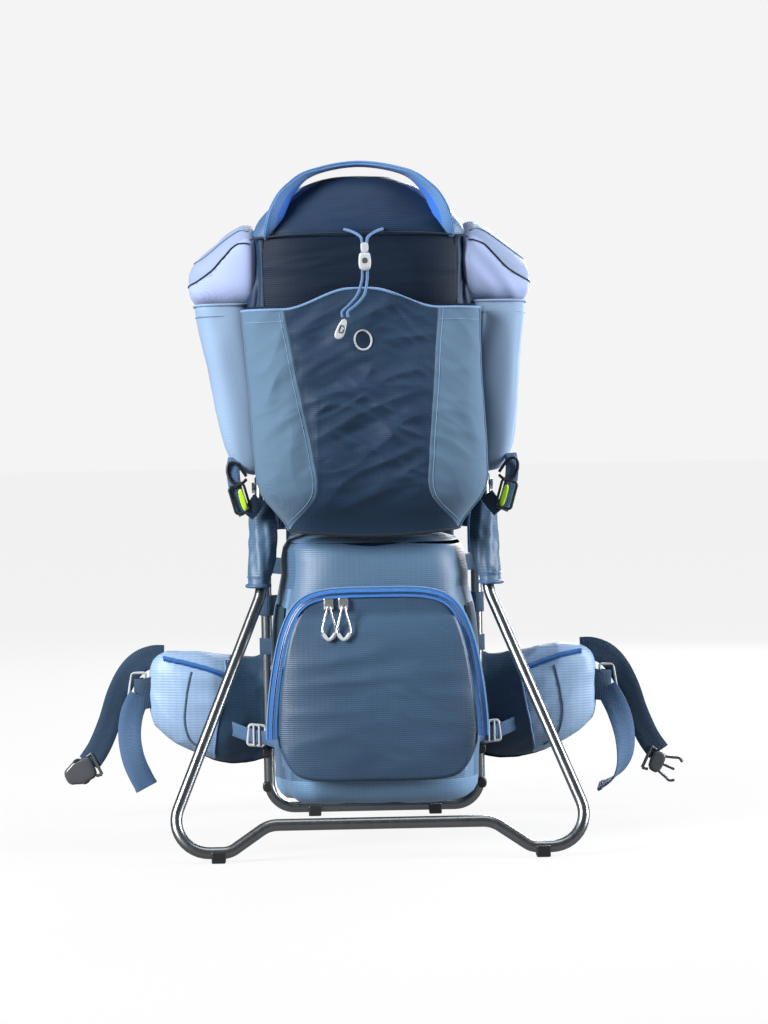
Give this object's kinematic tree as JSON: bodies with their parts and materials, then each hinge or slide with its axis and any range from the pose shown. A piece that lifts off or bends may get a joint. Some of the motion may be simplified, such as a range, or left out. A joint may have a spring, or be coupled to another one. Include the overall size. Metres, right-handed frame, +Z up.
{
  "type": "framed child carrier backpack",
  "caption": "Framed child carrier backpack with a folding kickstand, child seat, pockets, zipped lower bag and padded hip belt.",
  "frame": {"origin": "floor point under the middle of the carrier, with its wings and belt spread", "axes": "+Z up, -Y the outer side with the kickstand, +Y towards the wearer, +X to the right seen from outside"},
  "size_m": [0.6923, 0.409, 0.705],
  "materials": {
    "tube": "dark anodised tube",
    "steel": "plain steel",
    "black_plastic": "moulded black",
    "grey_plastic": "moulded light grey",
    "green_plastic": "moulded lime green",
    "fabric_blue": "ripstop and stretch cloth",
    "fabric_light": "plain light-blue cloth",
    "fabric_dark": "dark navy ripstop",
    "webbing": "woven webbing",
    "handle_blue": "blue webbing",
    "cord_blue": "braided elastic cord",
    "mesh_pad": "padded spacer mesh"
  },
  "bodies": {
    "carrier": {"main_frame": "tube", "frame_crossbar": "tube", "frame_foot_left": "black_plastic", "frame_foot_right": "black_plastic", "hinge_arm_left": "tube", "hinge_arm_right": "tube", "hinge_pin_left": "steel", "hinge_pin_right": "steel", "side_wing_left": "fabric_light", "side_wing_right": "fabric_light", "side_pocket_left": "fabric_light", "side_pocket_right": "fabric_light", "harness_strap_left": "mesh_pad", "harness_strap_right": "mesh_pad", "ladder_lock_left": "grey_plastic", "ladder_lock_right": "grey_plastic", "side_buckle_left": "black_plastic", "side_buckle_right": "black_plastic", "shock_cord_left": "cord_blue", "shock_cord_right": "cord_blue", "cockpit_shell": "fabric_dark", "front_pocket": "fabric_blue", "headrest": "fabric_dark", "grab_handle": "handle_blue", "compartment": "fabric_blue", "back_panel": "mesh_pad", "lumbar_pad": "mesh_pad", "chin_pad": "mesh_pad", "harness_buckle": "black_plastic", "cord_lock": "grey_plastic", "cord_pull_tab": "steel"},
    "kickstand": {"kickstand": "tube", "kickstand_foot_left": "black_plastic", "kickstand_foot_right": "black_plastic", "leg_sleeve_left": "fabric_blue", "leg_sleeve_right": "fabric_blue"},
    "seat": {"child_seat": "mesh_pad"},
    "harness_button": {"harness_button": "green_plastic"},
    "door": {"compartment_door": "fabric_blue"},
    "slider_left": {"door_slider_left": "steel"},
    "slider_right": {"door_slider_right": "steel"},
    "pull_left": {"door_pull_left": "steel"},
    "pull_right": {"door_pull_right": "steel"},
    "hip_wing_left": {"hip_wing_left": "fabric_light", "belt_loop_left": "grey_plastic", "belt_webbing_left": "webbing", "buckle_socket": "black_plastic"},
    "hip_wing_right": {"hip_wing_right": "fabric_light", "belt_loop_right": "grey_plastic", "belt_webbing_right": "webbing", "buckle_plug": "black_plastic"},
    "yoke": {"shoulder_yoke": "mesh_pad"},
    "shoulder_straps": {"shoulder_strap_left": "mesh_pad", "shoulder_strap_right": "mesh_pad"},
    "chest_strap": {"chest_strap": "webbing"},
    "footrest_left": {"footrest_left": "webbing"},
    "footrest_right": {"footrest_right": "webbing"},
    "side_release_left": {"side_release_left": "green_plastic"},
    "side_release_right": {"side_release_right": "green_plastic"},
    "lock_button": {"cord_lock_button": "grey_plastic"}
  },
  "joints": [
    {"name": "kickstand_fold", "type": "hinge", "parent": "carrier", "child": "kickstand", "pos_m": [0, -0.05, 0.37], "axis": [1, 0, 0], "range_deg": [0, 45]},
    {"name": "seat_height", "type": "slide", "parent": "carrier", "child": "seat", "axis": [0, 0, 1], "range_m": [0, 0.06]},
    {"name": "harness_button_press", "type": "slide", "parent": "carrier", "child": "harness_button", "axis": [0, -1, 0], "range_m": [0, 0.0025], "stiffness_N_per_m": 300},
    {"name": "door_open", "type": "hinge", "parent": "carrier", "child": "door", "pos_m": [0, -0.1293, 0.07], "axis": [1, 0, 0], "range_deg": [0, 80]},
    {"name": "slider_left_run", "type": "slide", "parent": "door", "child": "slider_left", "axis": [-1, 0, 0], "range_m": [0, 0.03]},
    {"name": "slider_right_run", "type": "slide", "parent": "door", "child": "slider_right", "axis": [1, 0, 0], "range_m": [0, 0.05]},
    {"name": "pull_left_swing", "type": "hinge", "parent": "slider_left", "child": "pull_left", "pos_m": [-0.048, -0.137, 0.25], "axis": [1, 0, 0], "range_deg": [-75, 0]},
    {"name": "pull_right_swing", "type": "hinge", "parent": "slider_right", "child": "pull_right", "pos_m": [-0.033, -0.137, 0.25], "axis": [1, 0, 0], "range_deg": [-75, 0]},
    {"name": "hip_wing_left_wrap", "type": "hinge", "parent": "carrier", "child": "hip_wing_left", "pos_m": [-0.104, 0.163, 0.12], "axis": [0, 0, -1], "range_deg": [0, 70]},
    {"name": "hip_wing_right_wrap", "type": "hinge", "parent": "carrier", "child": "hip_wing_right", "pos_m": [0.104, 0.163, 0.12], "axis": [0, 0, 1], "range_deg": [0, 70]},
    {"name": "yoke_height", "type": "slide", "parent": "carrier", "child": "yoke", "axis": [0, 0, 1], "range_m": [0, 0.05]},
    {"name": "shoulder_strap_swing", "type": "hinge", "parent": "yoke", "child": "shoulder_straps", "pos_m": [0, 0.1712, 0.59], "axis": [1, 0, 0], "range_deg": [0, 35]},
    {"name": "chest_strap_height", "type": "slide", "parent": "shoulder_straps", "child": "chest_strap", "axis": [0, 0, 1], "range_m": [-0.04, 0.04]},
    {"name": "footrest_left_swing", "type": "hinge", "parent": "carrier", "child": "footrest_left", "pos_m": [-0.1095, 0.055, 0.352], "axis": [1, 0, 0], "range_deg": [-20, 20]},
    {"name": "footrest_right_swing", "type": "hinge", "parent": "carrier", "child": "footrest_right", "pos_m": [0.1095, 0.055, 0.352], "axis": [1, 0, 0], "range_deg": [-20, 20]},
    {"name": "side_release_left_press", "type": "slide", "parent": "carrier", "child": "side_release_left", "axis": [0, 1, 0], "range_m": [0, 0.002], "stiffness_N_per_m": 300},
    {"name": "side_release_right_press", "type": "slide", "parent": "carrier", "child": "side_release_right", "axis": [0, 1, 0], "range_m": [0, 0.002], "stiffness_N_per_m": 300},
    {"name": "cord_lock_press", "type": "slide", "parent": "carrier", "child": "lock_button", "axis": [0, 0, -1], "range_m": [0, 0.004], "stiffness_N_per_m": 300, "springref_m": -0.001}
  ]
}
